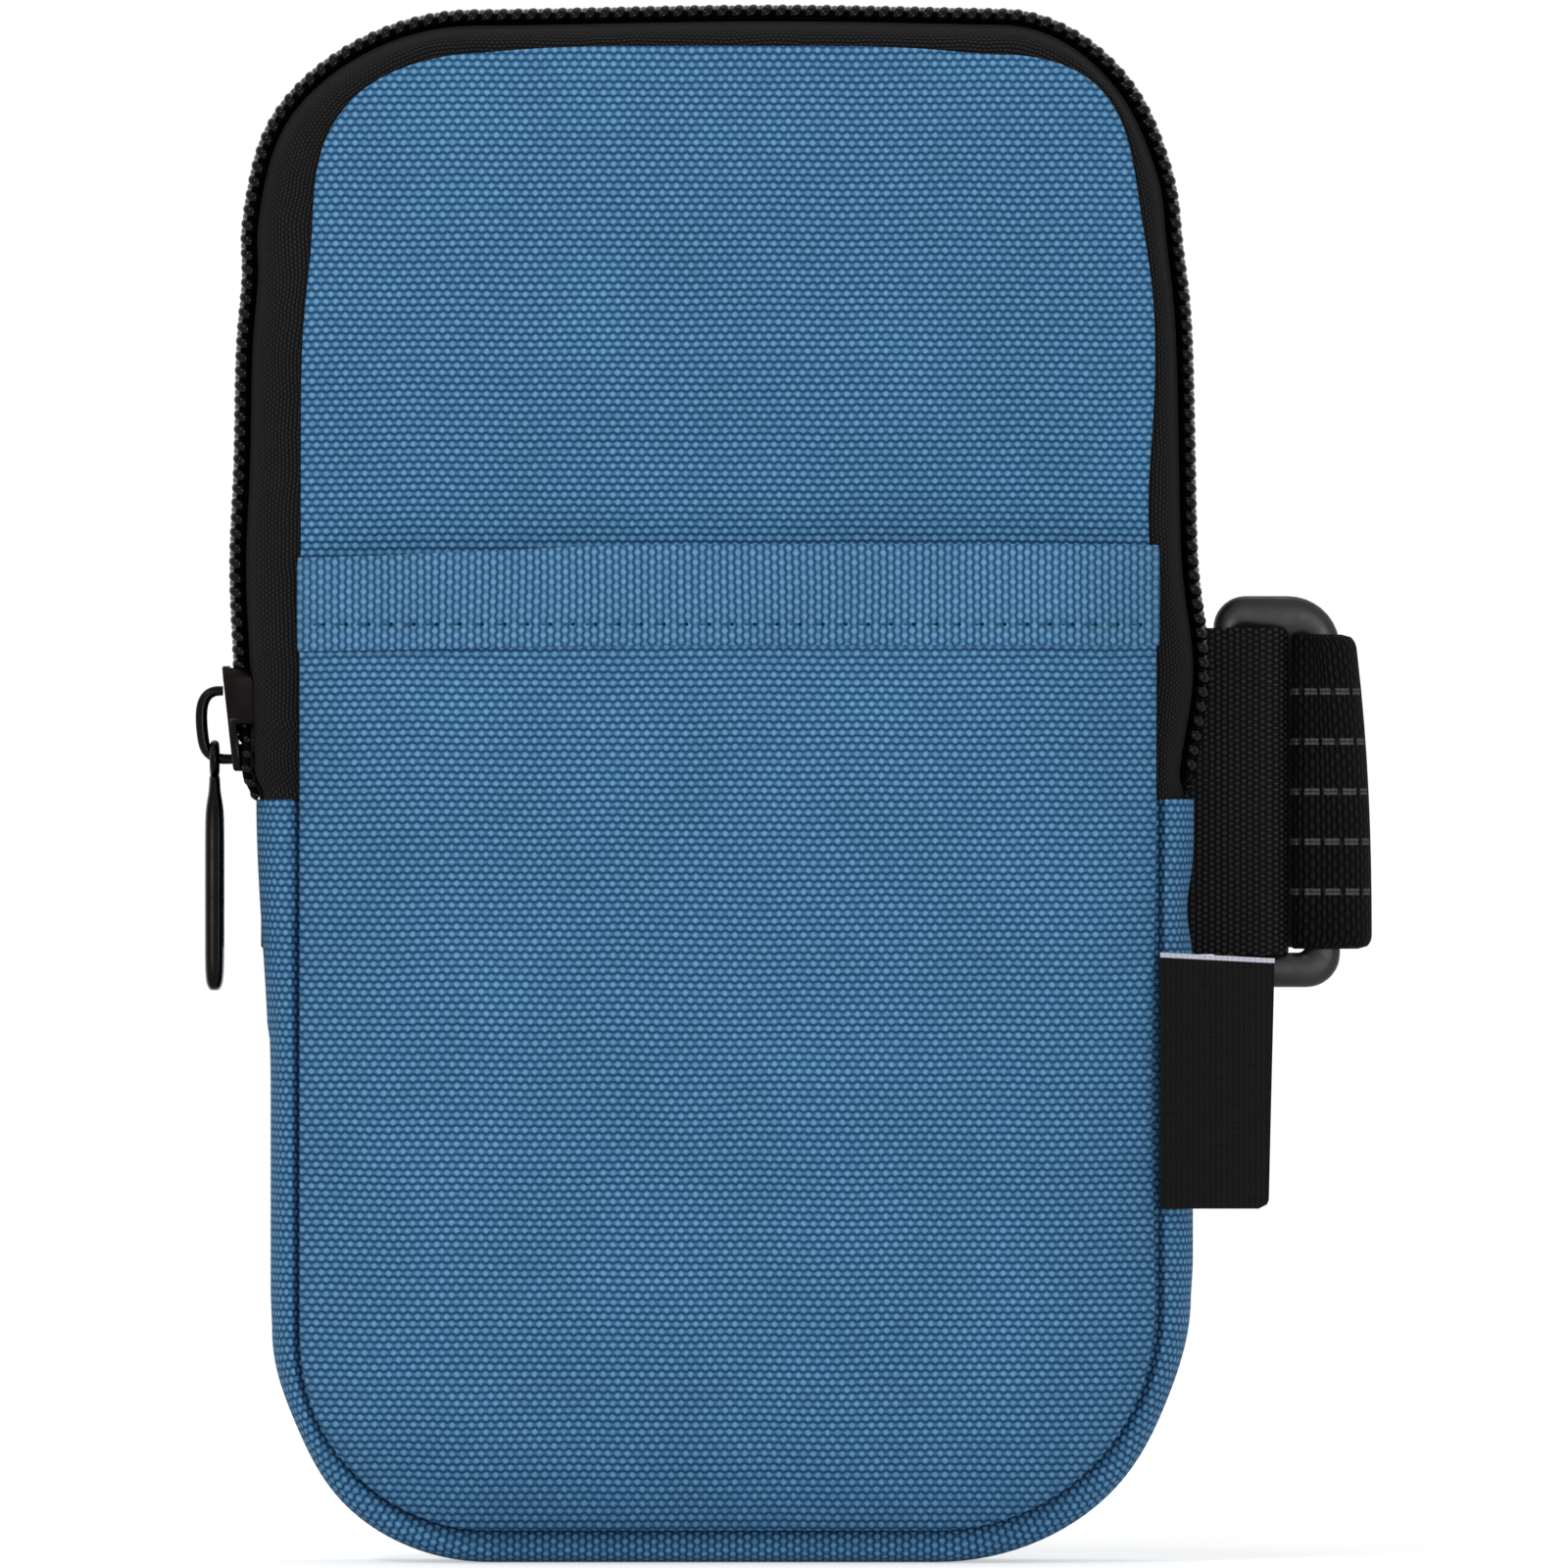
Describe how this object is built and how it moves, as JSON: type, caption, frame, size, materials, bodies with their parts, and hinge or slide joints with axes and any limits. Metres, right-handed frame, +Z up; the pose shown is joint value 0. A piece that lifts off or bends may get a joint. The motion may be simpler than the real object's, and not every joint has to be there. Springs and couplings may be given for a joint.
{
  "type": "bottle pouch",
  "caption": "Padded zipped cloth pouch with a front slip pocket, coil zip with hanging pull, woven side label, and an elastic strap on a slide buckle that holds it to a bottle",
  "frame": {"origin": "under the middle of the bottom strip, on its flat underside, on the front panel's centre line and midway between the two seams", "axes": "+X to the right seen from the front, -Y out of the front, +Z up along the pouch"},
  "size_m": [0.1389, 0.1015, 0.1831],
  "materials": {
    "blue_polyester": "coarse plain weave, matt",
    "blue_binding": "plain weave binding strip, matt",
    "grey_foam": "soft foam padding",
    "dark_lining": "smooth lining cloth",
    "black_tape": "herringbone zip tape, matt",
    "black_coil": "glossy coil",
    "gunmetal": "polished black nickel",
    "black_webbing": "herringbone webbing",
    "black_elastic": "ribbed elastic",
    "black_plastic": "satin moulded",
    "woven_label": "fine woven twill"
  },
  "bodies": {
    "pouch": {"front_panel": "blue_polyester", "back_panel": "blue_polyester", "bottom_gusset": "blue_polyester", "pocket_panel": "blue_polyester", "pocket_binding": "blue_binding", "front_foam": "grey_foam", "back_foam": "grey_foam", "front_lining": "dark_lining", "back_lining": "dark_lining", "gusset_lining": "dark_lining", "seam_binding_front": "dark_lining", "seam_binding_back": "dark_lining", "zip_tape_front": "black_tape", "zip_tape_back": "black_tape", "zip_chain_front": "black_coil", "zip_chain_back": "black_coil", "webbing_tab": "black_webbing", "elastic_strap": "black_elastic", "hook_patch": "black_elastic", "loop_patch": "black_elastic", "side_label": "woven_label"},
    "slider": {"slider_body": "gunmetal", "slider_bail": "gunmetal"},
    "pull": {"pull_tab": "gunmetal"},
    "buckle": {"slide_buckle": "black_plastic"}
  },
  "joints": [
    {"name": "slider_travel", "type": "slide", "parent": "pouch", "child": "slider", "axis": [0, 0, 1], "range_m": [0, 0.047], "deforming": ["zip_tape_front", "zip_tape_back", "zip_chain_front", "zip_chain_back"]},
    {"name": "pull_swing", "type": "hinge", "parent": "slider", "child": "pull", "pos_m": [-0.0605, 0, 0.0961], "axis": [0, 1, 0], "range_deg": [0, 115]},
    {"name": "buckle_rock", "type": "hinge", "parent": "pouch", "child": "buckle", "pos_m": [0.0631, 0.01235, 0.0907], "axis": [0, 0, 1], "range_deg": [-5, 5], "deforming": ["elastic_strap"]}
  ]
}
